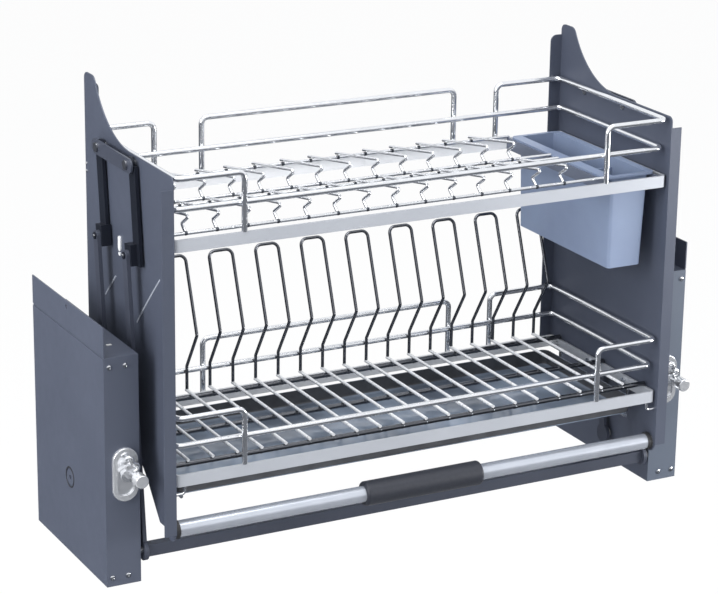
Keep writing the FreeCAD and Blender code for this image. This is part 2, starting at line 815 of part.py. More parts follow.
def side_panel():
    """Pressed side panel with an outward front flange, an inward rear flange and a handle ear."""
    sheet = plate_from_outline(panel_outline(), panel_inner_x, panel_outer_x)
    ear = along_x(handle_y, handle_z, panel_inner_x, panel_outer_x, handle_ear_radius)
    front_flange = block(
        panel_inner_x,
        panel_inner_x + front_flange_width,
        panel_front_y,
        panel_front_y + panel_sheet,
        panel_bottom_z,
        front_flange_top_z,
    )
    rear_flange = block(
        panel_outer_x - rear_flange_width,
        panel_outer_x,
        flange_face_y,
        panel_rear_y,
        panel_rear_bottom_z,
        rear_flange_top_z,
    )
    free_x = panel_outer_x - rear_flange_width + weld_gap
    free_z = rear_flange_top_z - weld_gap
    corner = [e for e in rear_flange.Edges if e.BoundBox.XMax < free_x and e.BoundBox.ZMin > free_z]
    rear_flange = rear_flange.makeFillet(rear_flange_corner, corner)
    panel = fused([sheet, ear, front_flange, rear_flange])
    holes = [(y, upper_pivot_z, upper_bolt_radius) for y in (upper_front_y, upper_rear_y)]
    holes.append((handle_y, handle_z, handle_screw_radius))
    for y, z, radius in holes:
        panel = panel.cut(along_x(y, z, panel_inner_x, panel_outer_x, radius + weld_gap))
    return panel


def pivot_strap():
    """Bright strap that ties the two upper pivot bolts on the outside."""
    reach = strap_overhang - strap_width / 2
    front = upper_front_y - reach
    rear = upper_rear_y + reach
    strap = link_plate(front, upper_pivot_z, rear, upper_pivot_z, strap_width, strap_x, strap_end_x)
    for y in (upper_front_y, upper_rear_y):
        strap = strap.cut(along_x(y, upper_pivot_z, strap_x, strap_end_x, upper_bolt_radius + weld_gap))
    return strap


def upper_pivot_bolts():
    """Bolts through panel, blade and strap, each with a washer on both sides of the blade."""
    bolts = []
    for y in (upper_front_y, upper_rear_y):
        inner_x = panel_inner_x - upper_bolt_inner_nut
        outer_end = strap_end_x + upper_bolt_outer_head
        pieces = [
            along_x(y, upper_pivot_z, inner_x, outer_end, upper_bolt_radius),
            along_x(y, upper_pivot_z, inner_x, panel_inner_x, upper_bolt_nut_radius),
            along_x(y, upper_pivot_z, panel_outer_x, blade_x - washer_clearance, upper_bolt_head_radius),
            along_x(y, upper_pivot_z, foot_x + washer_clearance, strap_x, upper_bolt_head_radius),
            along_x(y, upper_pivot_z, strap_end_x, outer_end, upper_bolt_head_radius),
        ]
        bolts.append(fused(pieces))
    return bolts


def stop_tag():
    """Small bright pin and dot on the panel's outer face, between the arms."""
    x1 = panel_outer_x + stop_tag_sheet
    top_z = stop_tag_z + stop_tag_height
    bar = link_plate(stop_tag_y, stop_tag_z, stop_tag_y, top_z, stop_tag_width, panel_outer_x, x1)
    dot = along_x(stop_tag_y, stop_tag_z - stop_tag_dot_drop, panel_outer_x, x1, stop_tag_dot_radius)
    return [bar, dot]


def handle_tube():
    """Polished tube between the two side panels, with the threaded plugs in its ends."""
    end_x = panel_inner_x - weld_gap
    bar = along_x(handle_y, handle_z, -end_x, end_x, handle_radius)
    clear = end_x - handle_plug_length
    hollow = along_x(handle_y, handle_z, -clear, clear, handle_radius - handle_wall)
    thread = along_x(handle_y, handle_z, -end_x, end_x, handle_screw_radius + weld_gap)
    return bar.cut(hollow).cut(thread)


def handle_screw():
    """Screw from outside the panel into the handle's plug."""
    head_end = panel_outer_x + handle_screw_head
    head = along_x(handle_y, handle_z, panel_outer_x, head_end, handle_screw_head_radius)
    inner = panel_inner_x - handle_plug_length + free_gap
    return fused([head, along_x(handle_y, handle_z, inner, panel_outer_x, handle_screw_radius)])


def handle_grip():
    """Soft foam sleeve at the middle of the handle."""
    half = grip_length / 2
    sleeve = along_x(handle_y, handle_z, -half, half, grip_radius)
    ends = [e for e in sleeve.Edges if e.BoundBox.XLength < weld_gap]
    sleeve = sleeve.makeFillet(grip_rounding, ends)
    return sleeve.cut(along_x(handle_y, handle_z, -half, half, handle_radius + weld_gap))


def basket_frame(bar_z):
    """Flat bar bent into a closed ring, with holes for the screws into the panels."""
    top = bar_z + basket_bar_height
    sheet = basket_bar_sheet
    outer = rounded_slab(
        -basket_side_x, basket_side_x, basket_bar_front_y, basket_rear_y, bar_z, top, basket_corner_radius
    )
    inner = rounded_slab(
        -basket_inner_x,
        basket_inner_x,
        basket_bar_front_y + sheet,
        basket_inner_rear_y,
        bar_z,
        top,
        basket_corner_radius - sheet,
    )
    ring = outer.cut(inner)
    for y in fixing_screw_places_y:
        hole_z = bar_z + basket_bar_height / 2
        ring = ring.cut(along_x(y, hole_z, -basket_side_x, basket_side_x, fixing_screw_radius + weld_gap))
    return ring


def top_rails(top_z, bar_z):
    """Guard rail of each side, one bent wire: front post, front, side, back and back post."""
    front_foot = bar_z + basket_bar_height + weld_gap
    rails = []
    for sign in (-1, 1):
        back_post_x = sign * back_outer_post_x + back_loop_offset
        points = [
            (sign * front_post_x, rail_front_y, front_foot),
            (sign * front_post_x, rail_front_y, top_z),
            (sign * rail_side_x, rail_front_y, top_z),
            (sign * rail_side_x, back_post_y, top_z),
            (back_post_x, back_post_y, top_z),
            (back_post_x, back_post_y, bar_z + back_post_low),
        ]
        rails.append(bent_wire(points, rail_radius, rail_bend))
    return rails


def mid_rail(mid_z):
    """Closed guard rail at half height, inside the front posts and the back posts."""
    start = (0, mid_rail_back_y, mid_z)
    corners = [
        (-rail_side_x, mid_rail_back_y, mid_z),
        (-rail_side_x, mid_rail_front_y, mid_z),
        (rail_side_x, mid_rail_front_y, mid_z),
        (rail_side_x, mid_rail_back_y, mid_z),
    ]
    return bent_wire([start] + corners + [start], rail_radius, mid_rail_bend)


def back_loop(top_z, bar_z):
    """The wide middle loop at the back, which stands behind the flat bar."""
    foot = bar_z + back_post_low
    left = back_loop_offset - back_inner_post_x
    right = back_loop_offset + back_inner_post_x
    points = [
        (left, back_post_y, foot),
        (left, back_post_y, top_z),
        (right, back_post_y, top_z),
        (right, back_post_y, foot),
    ]
    return bent_wire(points, rail_radius, rail_bend)


def basket_screws():
    """Screws through the side bars into spacers on the panels, and the studs of the rails at the back."""
    pieces = []
    for bar_z in (upper_bar_z, lower_bar_z):
        z = bar_z + basket_bar_height / 2
        for y in fixing_screw_places_y:
            screw = [
                along_x(y, z, basket_inner_x - fixing_screw_head, basket_inner_x, fixing_screw_head_radius),
                along_x(y, z, basket_inner_x, basket_side_x, fixing_screw_radius),
                along_x(y, z, basket_side_x, panel_inner_x, fixing_spacer_radius),
            ]
            pieces.append(fused(screw))
    stud_x = rail_side_x - rail_bend
    for z in (upper_top_z, lower_top_z):
        start_y = back_post_y + rail_radius + weld_gap
        pieces.append(along_y(stud_x, z, start_y, flange_face_y, rail_radius))
    pieces.append(handle_screw())
    return pieces


def bowl_rods():
    """Four long rods across the upper basket, resting on its side bar and on the box's rail."""
    left = -basket_side_x + rod_bar_overlap
    return [along_x(y, bowl_rod_z, left, bowl_rod_right_x, rod_radius) for y in bowl_rod_places]


def bowl_wires():
    """Two rows of bent wires; each rises over its front rod, curls back and ends on the rod's surface."""
    wires = []
    for back_y, front_y in zip(bowl_rod_places[0::2], bowl_rod_places[1::2]):
        curl_y = front_y + bowl_curl_back
        curl_z = bowl_rod_z + bowl_curl_rise
        down = V(0, front_y - curl_y, bowl_rod_z - curl_z).normalize()
        end = V(0, front_y, bowl_rod_z) - down * (rod_radius + weld_gap)
        for i in range(bowl_wire_count):
            x = bowl_wire_first_x + i * bowl_wire_pitch
            points = [
                (x, back_y + bowl_wire_overhang, bowl_wire_z),
                (x, front_y - bowl_crest_overhang, bowl_wire_z + bowl_crest_rise),
                (x, curl_y, curl_z),
                (x, end.y, end.z),
            ]
            wires.append(bent_wire(points, wave_wire_radius, bowl_bend))
    return wires


def rack_rods():
    """Cross rods of the lower basket, resting on its side bars."""
    end = basket_side_x - rod_bar_overlap
    return [along_x(y, rack_cross_z, -end, end, cross_rod_radius) for y in rack_cross_rod_places]


def floor_wires():
    """Straight wires from front to back, which carry the plates."""
    rear = rack_leg_y + rack_wire_radius
    places = [rack_wire_first_x + i * rack_wire_pitch for i in range(rack_wire_count)]
    return [along_y(x, rack_floor_z, rack_front_y, rear, rack_wire_radius) for x in places]


def plate_loops():
    """Each loop stands on two floor wires, steps forward at half height and leans back to its top."""
    foot_z = rack_floor_z + rack_wire_radius + weld_gap
    shoulder_z = foot_z + rack_leg_rise
    kink_z = shoulder_z + rack_kink_rise
    kink_y = rack_leg_y - rack_kink_forward
    top_z = kink_z + rack_top_rise
    top_y = kink_y + rack_top_back
    loops = []
    for i in range(rack_loop_count):
        left = rack_wire_first_x + 2 * i * rack_wire_pitch
        right = left + rack_wire_pitch
        points = [
            (left, rack_leg_y, foot_z),
            (left, rack_leg_y, shoulder_z),
            (left, kink_y, kink_z),
            (left, top_y, top_z),
            (right, top_y, top_z),
            (right, kink_y, kink_z),
            (right, rack_leg_y, shoulder_z),
            (right, rack_leg_y, foot_z),
        ]
        bends = [rack_kink_bend, rack_kink_bend, rack_bend, rack_bend, rack_kink_bend, rack_kink_bend]
        loops.append(bent_wire(points, rack_wire_radius, bends))
    return loops


def box_rails():
    """Two flat bars from front to back that carry the cutlery box by its rim."""
    front = basket_bar_front_y + basket_bar_sheet + weld_gap
    rear = basket_inner_rear_y - weld_gap
    return [
        block(x, x + basket_bar_sheet, front, rear, upper_bar_z, upper_bar_top)
        for x in (box_rail_left_x, box_rail_right_x)
    ]


def tray_runners():
    """Two long rods under the tray and the bent wires that hang them from the basket's side bars."""
    pieces = [along_y(runner_x, runner_z, runner_front_y, runner_rear_y, rod_radius)]
    for y in hanger_places_y:
        points = [
            (hanger_x, y, lower_bar_z - weld_gap),
            (hanger_x, y, hanger_z),
            (hanger_reach_x, y, hanger_z),
        ]
        pieces.append(bent_wire(points, rod_radius, hanger_bend))
    return pieces


def basket_hook():
    """Small wire from under the lower front bar down and out to the side panel."""
    points = [
        (hook_x, rail_front_y, lower_bar_z - weld_gap),
        (hook_x, rail_front_y, hook_low_z),
        (panel_inner_x - weld_gap, rail_front_y, hook_low_z),
    ]
    return bent_wire(points, hook_wire_radius, hook_bend)


# Pieces that lift or slide out


def box_outline(inset, z):
    """Rounded rectangle of the cutlery box at one height; the box narrows towards its bottom."""
    drop = (box_rim_top - z) / box_depth
    x0 = box_left_x + inset + box_taper_left * drop
    x1 = box_right_x - inset - box_taper_right * drop
    y0 = box_front_y + inset + box_taper_front * drop
    y1 = box_rear_y - inset - box_taper_rear * drop
    r = box_corner_radius - inset
    bow = r * (1 - math.sqrt(0.5))
    points = [
        V(x0 + r, y0, z),
        V(x1 - r, y0, z),
        V(x1 - bow, y0 + bow, z),
        V(x1, y0 + r, z),
        V(x1, y1 - r, z),
        V(x1 - bow, y1 - bow, z),
        V(x1 - r, y1, z),
        V(x0 + r, y1, z),
        V(x0 + bow, y1 - bow, z),
        V(x0, y1 - r, z),
        V(x0, y0 + r, z),
        V(x0 + bow, y0 + bow, z),
    ]
    edges = []
    for i in range(0, len(points), 3):
        following = points[(i + 3) % len(points)]
        edges.append(Part.LineSegment(points[i], points[i + 1]).toShape())
        edges.append(Part.Arc(points[i + 1], points[i + 2], following).toShape())
    return Part.Wire(edges)


def cutlery_box():
    """Deep plastic box with a flat rim and two upright dividers."""
    floor_z = box_bottom_z + box_wall
    body = Part.makeLoft([box_outline(0, box_bottom_z), box_outline(0, box_rim_top)], True, True)
    inside = Part.makeLoft([box_outline(box_wall, floor_z), box_outline(box_wall, box_rim_top)], True, True)
    rim = rounded_slab(
        box_left_x - box_rim_left,
        box_right_x + box_rim_right,
        box_front_y - box_rim_front,
        box_rear_y + box_rim_rear,
        box_rim_bottom,
        box_rim_top,
        box_rim_corner_radius,
    )
    dividers = []
    for y in divider_places_y:
        wall = block(box_left_x, box_right_x, y, y + divider_wall, floor_z, box_rim_top - divider_drop)
        dividers.append(wall.common(inside))
    hollow = fused([body, rim]).cut(inside)
    return fused([hollow] + dividers)


def drip_tray():
    """Shallow tray of smoked plastic with rounded base edges and a thin outward lip at the front."""
    wall = tray_wall
    outer = rounded_slab(
        -tray_half_width,
        tray_half_width,
        tray_front_y,
        tray_rear_y,
        tray_bottom_z,
        tray_top_z,
        tray_corner_radius,
    )
    base = [e for e in outer.Edges if e.BoundBox.ZMax < tray_bottom_z + weld_gap]
    outer = outer.makeFillet(tray_base_rounding, base)
    inner = rounded_slab(
        -tray_half_width + wall,
        tray_half_width - wall,
        tray_front_y + wall,
        tray_rear_y - wall,
        tray_bottom_z + wall,
        tray_top_z,
        tray_corner_radius - wall,
    )
    base = [e for e in inner.Edges if e.BoundBox.ZMax < tray_bottom_z + wall + weld_gap]
    inner = inner.makeFillet(tray_base_rounding - wall, base)
    lip = rounded_slab(
        -tray_half_width,
        tray_half_width,
        tray_front_y - tray_lip,
        tray_front_y + tray_corner_radius,
        tray_top_z - tray_lip_sheet,
        tray_top_z,
        tray_lip,
    )
    return fused([outer, lip]).cut(inner)


# Every node and the pieces in it


def both_sides(pieces):
    return pieces + [mirrored(p) for p in pieces]


def mirrored_nodes(name, piece):
    return {"right_" + name: [piece], "left_" + name: [mirrored(piece)]}


def moved_nodes(name, piece):
    across = piece.copy()
    across.translate(V(-2 * crank_x, 0, 0))
    return {"right_" + name: [piece], "left_" + name: [across]}


def housing_nodes():
    nodes = {}
    nodes.update(mirrored_nodes("mount_plate", mount_plate()))
    nodes.update(mirrored_nodes("housing_shell", housing_shell()))
    nodes.update(mirrored_nodes("front_cover", front_cover()))
    nodes["wall_bosses"] = both_sides([wall_boss()])
    nodes["cover_screws"] = both_sides(cover_screws())
    nodes["crank_escutcheons"] = both_sides([crank_escutcheon()])
    nodes["top_clips"] = both_sides([clip_block(0)])
    nodes["pivot_bushes"] = both_sides(pivot_bushes())
    nodes["rotary_dampers"] = both_sides([rotary_damper()])
    nodes["adjuster_bearings"] = both_sides(adjuster_bearings())
    nodes["balance_springs"] = both_sides([balance_spring()])
    nodes.update(moved_nodes("crank_arm", crank_arm()))
    nodes.update(moved_nodes("crank_knob", crank_knob()))
    nodes.update(moved_nodes("adjuster_screw", adjuster_screw()))
    nodes.update(moved_nodes("spring_nut", spring_nut()))
    return nodes


def arm_nodes():
    nodes = {}
    for name, pivot_y, offset, clearance in (
        ("front", front_pivot_y, front_blade_offset, running_clearance),
        ("rear", rear_pivot_y, rear_blade_offset, open_pivot_clearance),
    ):
        nodes.update(mirrored_nodes(name + "_arm_bar", arm_bar(pivot_y)))
        nodes[name + "_blades"] = both_sides([upper_blade(pivot_y, offset, clearance)])
        nodes[name + "_lap_bolts"] = both_sides([lap_bolt(pivot_y)])
        nodes[name + "_pivot_shafts"] = both_sides([pivot_shaft(pivot_y)])
    nodes["sync_bar"] = [sync_bar()]
    nodes["spring_cranks"] = both_sides([spring_crank()])
    return nodes


def carrier_nodes():
    nodes = {}
    nodes.update(mirrored_nodes("side_panel", side_panel()))
    nodes["pivot_straps"] = both_sides([pivot_strap()])
    nodes["upper_pivot_bolts"] = both_sides(upper_pivot_bolts())
    nodes["stop_tags"] = both_sides(stop_tag())
    nodes["handle_tube"] = [handle_tube()]
    nodes["handle_grip"] = [handle_grip()]
    for level, bar_z, mid_z, top_z in (
        ("upper", upper_bar_z, upper_mid_z, upper_top_z),
        ("lower", lower_bar_z, lower_mid_z, lower_top_z),
    ):
        nodes[level + "_basket_frame"] = [basket_frame(bar_z)]
        nodes[level + "_top_rails"] = top_rails(top_z, bar_z)
        nodes[level + "_mid_rail"] = [mid_rail(mid_z)]
        nodes[level + "_back_loop"] = [back_loop(top_z, bar_z)]
    nodes["basket_screws"] = both_sides(basket_screws())
    nodes["bowl_rack_rods"] = bowl_rods()
    nodes["bowl_rack_wires"] = bowl_wires()
    nodes["plate_rack_rods"] = rack_rods()
    nodes["plate_floor_wires"] = floor_wires()
    nodes["plate_loops"] = plate_loops()
    nodes["box_rails"] = box_rails()
    nodes["tray_runners"] = both_sides(tray_runners())
    nodes["basket_hooks"] = both_sides([basket_hook()])
    nodes["cutlery_box"] = [cutlery_box()]
    nodes["drip_tray"] = [drip_tray()]
    return nodes


def write_parts():
    os.makedirs("parts", exist_ok=True)
    nodes = {**housing_nodes(), **arm_nodes(), **carrier_nodes()}
    for name, pieces in nodes.items():
        shape = Part.makeCompound(pieces) if len(pieces) > 1 else pieces[0].copy()
        shape.translate(V(0, -origin_y, 0))
        shape.exportStep("parts/" + name + ".step")
        print(name, "solids", len(shape.Solids), "volume", round(shape.Volume), "valid", shape.isValid())
    print("nodes", len(nodes))


write_parts()
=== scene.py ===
import math

import bmesh
import bpy
from mathutils import Matrix, Vector


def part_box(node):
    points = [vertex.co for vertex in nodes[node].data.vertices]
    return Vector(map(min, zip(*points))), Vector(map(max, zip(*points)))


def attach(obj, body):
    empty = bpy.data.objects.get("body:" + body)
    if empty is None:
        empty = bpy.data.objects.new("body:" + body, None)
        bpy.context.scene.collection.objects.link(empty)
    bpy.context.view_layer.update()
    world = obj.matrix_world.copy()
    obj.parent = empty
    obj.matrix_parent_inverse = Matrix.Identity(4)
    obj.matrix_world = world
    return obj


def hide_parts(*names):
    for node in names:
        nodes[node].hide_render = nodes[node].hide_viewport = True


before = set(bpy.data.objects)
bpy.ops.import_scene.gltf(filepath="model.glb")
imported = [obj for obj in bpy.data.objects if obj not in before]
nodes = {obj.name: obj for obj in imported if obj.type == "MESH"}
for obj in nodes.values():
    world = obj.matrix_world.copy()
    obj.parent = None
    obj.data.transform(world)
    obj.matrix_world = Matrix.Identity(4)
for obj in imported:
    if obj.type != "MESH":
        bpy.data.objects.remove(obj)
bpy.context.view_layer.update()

# Housings
# Two folded sheet-steel boxes with a flat front cover each. They carry a satin slate powder coat,
# which has a very fine orange-peel skin and slight changes of tone over its large faces. The right
# cover's coat is painted a shade lighter, as painted light where more light falls on it.


def noise(tree, scale, detail=3.0):
    coordinates = tree.nodes.new("ShaderNodeTexCoord")
    texture = tree.nodes.new("ShaderNodeTexNoise")
    texture.inputs["Scale"].default_value = scale
    texture.inputs["Detail"].default_value = detail
    texture.inputs["Roughness"].default_value = 0.55
    tree.links.new(coordinates.outputs["Object"], texture.inputs["Vector"])
    return texture.outputs["Fac"]


def ramp(tree, value, low_at, low, high_at, high):
    stops = tree.nodes.new("ShaderNodeValToRGB")
    stops.color_ramp.elements[0].position = low_at
    stops.color_ramp.elements[0].color = (*low, 1)
    stops.color_ramp.elements[1].position = high_at
    stops.color_ramp.elements[1].color = (*high, 1)
    tree.links.new(value, stops.inputs["Fac"])
    return stops.outputs["Color"]


def tint(tree, shader, grain, low, high, low_at=0.3, high_at=0.7):
    """Base colour that wanders with the grain from one tone to the other."""
    tree.links.new(ramp(tree, grain, low_at, low, high_at, high), shader.inputs["Base Color"])


def dull(tree, shader, scale, low, high):
    """Roughness that wanders between two values."""
    span = tree.nodes.new("ShaderNodeMapRange")
    span.inputs["To Min"].default_value = low
    span.inputs["To Max"].default_value = high
    tree.links.new(noise(tree, scale), span.inputs["Value"])
    tree.links.new(span.outputs["Result"], shader.inputs["Roughness"])


def relief(tree, shader, height, strength, distance, edge=0):
    """Fine surface relief, and for sheet metal a soft edge of the given radius."""
    bump = tree.nodes.new("ShaderNodeBump")
    bump.inputs["Strength"].default_value = strength
    bump.inputs["Distance"].default_value = distance
    tree.links.new(height, bump.inputs["Height"])
    if not edge:
        tree.links.new(bump.outputs["Normal"], shader.inputs["Normal"])
        return
    worn = tree.nodes.new("ShaderNodeBevel")
    worn.samples = 4
    worn.inputs["Radius"].default_value = edge
    tree.links.new(bump.outputs["Normal"], worn.inputs["Normal"])
    tree.links.new(worn.outputs["Normal"], shader.inputs["Normal"])


def new_finish(name):
    material = bpy.data.materials.new(name)
    material.use_nodes = True
    return material, material.node_tree, material.node_tree.nodes["Principled BSDF"]


def powder_coat(name, dark, light, gloss=0.5):
    material, tree, shader = new_finish(name)
    tint(tree, shader, noise(tree, 9.0), dark, light)
    dull(tree, shader, 60.0, 0.36, 0.50)
    shader.inputs["Metallic"].default_value = 0.15
    shader.inputs["Specular IOR Level"].default_value = gloss
    relief(tree, shader, noise(tree, 1800.0, 2.0), 0.12, 0.0003, 0.0004)
    return material


def coat(material, *names):
    for name in names:
        piece = nodes[name]
        piece.data.materials.clear()
        piece.data.materials.append(material)


slate = powder_coat("housing_slate", (0.078, 0.090, 0.126), (0.088, 0.101, 0.140))
for side in ("left", "right"):
    coat(slate, side + "_mount_plate", side + "_housing_shell", side + "_front_cover")
# The right cover takes a lighter copy of the same coat, as painted light on its front.
coat(powder_coat("right_cover_painted_light", (0.100, 0.120, 0.158), (0.112, 0.134, 0.175)), "right_front_cover")

# Wall cups, slot clips and inner fittings
# The cup for the lower wall screw is pressed steel in the housing's colour, and a white plastic clip
# shows in a slot of each housing's top. Shafts, springs, nuts and cranks inside are bright zinc
# steel, the bushes white plastic and the dampers black.


def bright_zinc(name, tone, rough):
    material, tree, shader = new_finish(name)
    shaded = tuple(c * 0.86 for c in tone)
    tint(tree, shader, noise(tree, 120.0), shaded, tone)
    dull(tree, shader, 300.0, rough * 0.8, rough * 1.3)
    shader.inputs["Metallic"].default_value = 1.0
    relief(tree, shader, noise(tree, 900.0, 2.0), 0.05, 0.0002)
    return material


def moulded(name, grain, low, high, rough, skin, strength):
    """Plain moulded plastic with a fine skin."""
    material, tree, shader = new_finish(name)
    tint(tree, shader, noise(tree, grain), low, high)
    shader.inputs["Roughness"].default_value = rough
    relief(tree, shader, noise(tree, skin), strength, 0.0002)
    return material


zinc = bright_zinc("bright_zinc", (0.68, 0.69, 0.71), 0.26)
coat(zinc, "adjuster_bearings", "balance_springs", "front_pivot_shafts", "rear_pivot_shafts")
coat(zinc, "spring_cranks", "left_adjuster_screw", "right_adjuster_screw")
coat(zinc, "left_spring_nut", "right_spring_nut")
coat(slate, "wall_bosses")

white_plastic = moulded("white_plastic", 80.0, (0.70, 0.70, 0.69), (0.80, 0.80, 0.79), 0.4, 700.0, 0.06)
coat(white_plastic, "top_clips", "pivot_bushes")
black_plastic = moulded("black_plastic", 90.0, (0.018, 0.018, 0.020), (0.028, 0.028, 0.031), 0.5, 900.0, 0.1)
coat(black_plastic, "rotary_dampers")

# Cover screws
# Zinc-plated pan-head screws, cold-headed with a domed top and a cross recess, hold the front covers.
# Each is turned to a slightly different angle, as driven.


def shaped_mesh(name, shape_in):
    mesh = bpy.data.meshes.new(name)
    shape = bmesh.new()
    shape_in(shape)
    bmesh.ops.recalc_face_normals(shape, faces=shape.faces)
    shape.to_mesh(mesh)
    shape.free()
    return mesh


def placed(name, data):
    thing = bpy.data.objects.new(name, data)
    bpy.context.scene.collection.objects.link(thing)
    return thing


def new_piece(name, shape_in, material, body):
    mesh = shaped_mesh(name, shape_in)
    piece = placed(name, mesh)
    mesh.materials.append(material)
    for face in mesh.polygons:
        face.use_smooth = True
    mesh.set_sharp_from_angle(angle=math.radians(35))
    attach(piece, body)
    return piece


def lathe(shape, profile, origin, axis, steps=40):
    """Turns (distance along axis, radius) points into a round solid."""
    along = Vector(axis).normalized()
    side = along.orthogonal().normalized()
    over = along.cross(side)
    angles = [2 * math.pi * k / steps for k in range(steps)]
    rings = []
    for reach, radius in profile:
        centre = Vector(origin) + along * reach
        if radius == 0:
            rings.append([shape.verts.new(centre)])
            continue
        spokes = [side * math.cos(a) + over * math.sin(a) for a in angles]
        rings.append([shape.verts.new(centre + spoke * radius) for spoke in spokes])
    for a, b in zip(rings, rings[1:]):
        for k in range(steps):
            loop = [a[k % len(a)], a[(k + 1) % len(a)], b[(k + 1) % len(b)], b[k % len(b)]]
            loop = [v for n, v in enumerate(loop) if v not in loop[:n]]
            if len(loop) > 2:
                shape.faces.new(loop)


def cross_recess(shape, centre, turn, reach, width, front, back):
    """A cross-shaped prism along Y that narrows to its back, used as the hollow in a screw's head."""
    outline = []
    for quarter in range(4):
        a = turn + quarter * math.pi / 2
        ahead = Vector((math.cos(a), 0, math.sin(a)))
        aside = Vector((-math.sin(a), 0, math.cos(a)))
        outline.append(ahead * reach - aside * width)
        outline.append(ahead * reach + aside * width)
        outline.append(ahead * width + aside * width)
    rings = []
    for y, share in ((front, 1.0), (back, 0.55)):
        rings.append([shape.verts.new(Vector((centre[0], y, centre[1])) + p * share) for p in outline])
    count = len(outline)
    for k in range(count):
        following = (k + 1) % count
        shape.faces.new([rings[0][k], rings[0][following], rings[1][following], rings[1][k]])
    shape.faces.new(list(reversed(rings[0])))
    shape.faces.new(rings[1])


screw_zinc = bright_zinc("screw_zinc", (0.80, 0.81, 0.83), 0.16)
low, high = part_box("cover_screws")
cover_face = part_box("left_front_cover")[0][1]
screw_length = 0.0090
shank_radius = 0.0017
head_radius = 0.0032
screw_profile = [
    (-screw_length, 0), (-screw_length, shank_radius), (0.0, shank_radius), (0.0, head_radius),
    (0.0004, head_radius), (0.0010, 0.0029), (0.0014, 0.0021), (0.0016, 0.0011), (0.0016, 0),
]
recess_reach = 0.0017
recess_width = 0.00035
recess_front = cover_face - 0.0018
recess_back = cover_face - 0.0007
screw_columns = [sign * x for sign in (-1, 1) for x in (0.3565, 0.3755)]
screw_rows = (low[2] + head_radius, high[2] - head_radius)
screw_turns = (0.2, 0.9, 1.3, 0.5, 0.0, 1.1, 0.7, 0.35)


def cover_screw(name, x, z, turn):
    def head_and_shank(shape):
        lathe(shape, screw_profile, (x, cover_face, z), (0, -1, 0))

    def recess(shape):
        cross_recess(shape, (x, z), turn, recess_reach, recess_width, recess_front, recess_back)

    screw = new_piece(name, head_and_shank, screw_zinc, "housings")
    cutter = placed(name + "_recess", shaped_mesh(name + "_recess", recess))
    cut = screw.modifiers.new("recess", "BOOLEAN")
    cut.object = cutter
    cut.solver = "EXACT"
    bpy.context.view_layer.update()
    seen = screw.evaluated_get(bpy.context.evaluated_depsgraph_get())
    cut_mesh = bpy.data.meshes.new_from_object(seen)
    screw.modifiers.clear()
    screw.data = cut_mesh
    bpy.data.objects.remove(cutter)
    return screw


screw_places = [(x, z) for x in screw_columns for z in screw_rows]
for number, ((x, z), turn) in enumerate(zip(screw_places, screw_turns), 1):
    cover_screw("cover_screw_%d" % number, x, z, turn)
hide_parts("cover_screws")

# Seal rings
# A thin black rubber ring lies round each wall cup, where it comes through the mount plate. It is
# pushed on by hand and stands a little proud of the plate.

low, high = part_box("wall_bosses")
plate_face = abs(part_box("left_mount_plate")[0][0])
cup_y = (low[1] + high[1]) / 2
cup_z = (low[2] + high[2]) / 2
cup_radius = (high[2] - low[2]) / 2
seal_gap = 0.0001
seal_section = [
    (-0.0002, 0), (0.0004, 0), (0.0006, 0.0004), (0.0006, 0.0010),
    (0.0004, 0.0014), (-0.0002, 0.0014), (-0.0002, 0),
]
seal_profile = [(reach, cup_radius + seal_gap + rise) for reach, rise in seal_section]
for side, sign in (("left", -1), ("right", 1)):

    def seal_ring(shape):
        lathe(shape, seal_profile, (sign * plate_face, cup_y, cup_z), (sign, 0, 0), 48)

    new_piece(side + "_seal_ring", seal_ring, black_plastic, "housings")

# Spring adjusters
# A die-cast surround, a short crank with a bent hook and a round peg on each housing's front, in
# bright and satin chrome. The crank sets how hard the balance spring pulls.


def chrome(name, tone, rough, metal=1.0):
    material, tree, shader = new_finish(name)
    shaded = tuple(c * 0.93 for c in tone)
    tint(tree, shader, noise(tree, 40.0), shaded, tone, 0.35, 0.65)
    dull(tree, shader, 160.0, rough * 0.7, rough * 1.4)
    shader.inputs["Metallic"].default_value = metal
    relief(tree, shader, noise(tree, 500.0, 2.0), 0.03, 0.0002)
    return material


def bent_rod(name, points, radius, material, body):
    """A round rod swept along a smooth curve through the points, a little thinner at its ends."""
    curve = bpy.data.curves.new(name, "CURVE")
    curve.dimensions = "3D"
    curve.bevel_depth = 1.0
    curve.bevel_resolution = 6
    curve.resolution_u = 10
    curve.use_fill_caps = True
    line = curve.splines.new("NURBS")
    line.points.add(len(points) - 1)
    line.use_endpoint_u = True
    line.order_u = 3
    for k, place in enumerate(points):
        line.points[k].co = (*place, 1)
        line.points[k].radius = radius * (1 if 0 < k < len(points) - 1 else 0.75)
    piece = placed(name, curve)
    curve.materials.append(material)
    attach(piece, body)
    return piece


cast_chrome = chrome("cast_chrome", (0.94, 0.95, 0.97), 0.10, 0.88)
satin_cast = chrome("satin_cast", (0.93, 0.94, 0.96), 0.13, 0.72)
coat(satin_cast, "crank_escutcheons", "left_crank_knob", "right_crank_knob")
coat(cast_chrome, "left_crank_arm", "right_crank_arm")

hub_radius = 0.007
hook_y = -0.0920
hook_lean = 0.0005
hook_radius = 0.0028
hook_mm = ((-3, 20.5), (1, 22.5), (5, 21), (4.5, 17), (6, 14), (10.5, 13), (12, 9), (10, 5.5), (6, 5))
for side in ("left", "right"):
    low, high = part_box(side + "_crank_arm")
    hub_x = low[0] + hub_radius
    hub_z = (low[2] + high[2]) / 2
    points = []
    for k, (across, up) in enumerate(hook_mm):
        points.append((hub_x + across / 1000, hook_y - hook_lean * min(k, 3), hub_z + up / 1000))
    bent_rod(side + "_crank_hook", points, hook_radius, cast_chrome, side + "_adjuster")

# Arms
# Flat steel bars in slate paint, with near-black upper blades, and a square tube that ties the
# front pair. Dark bolts with a bright turned tip join blade and bar; dull zinc bolts hold the strap.

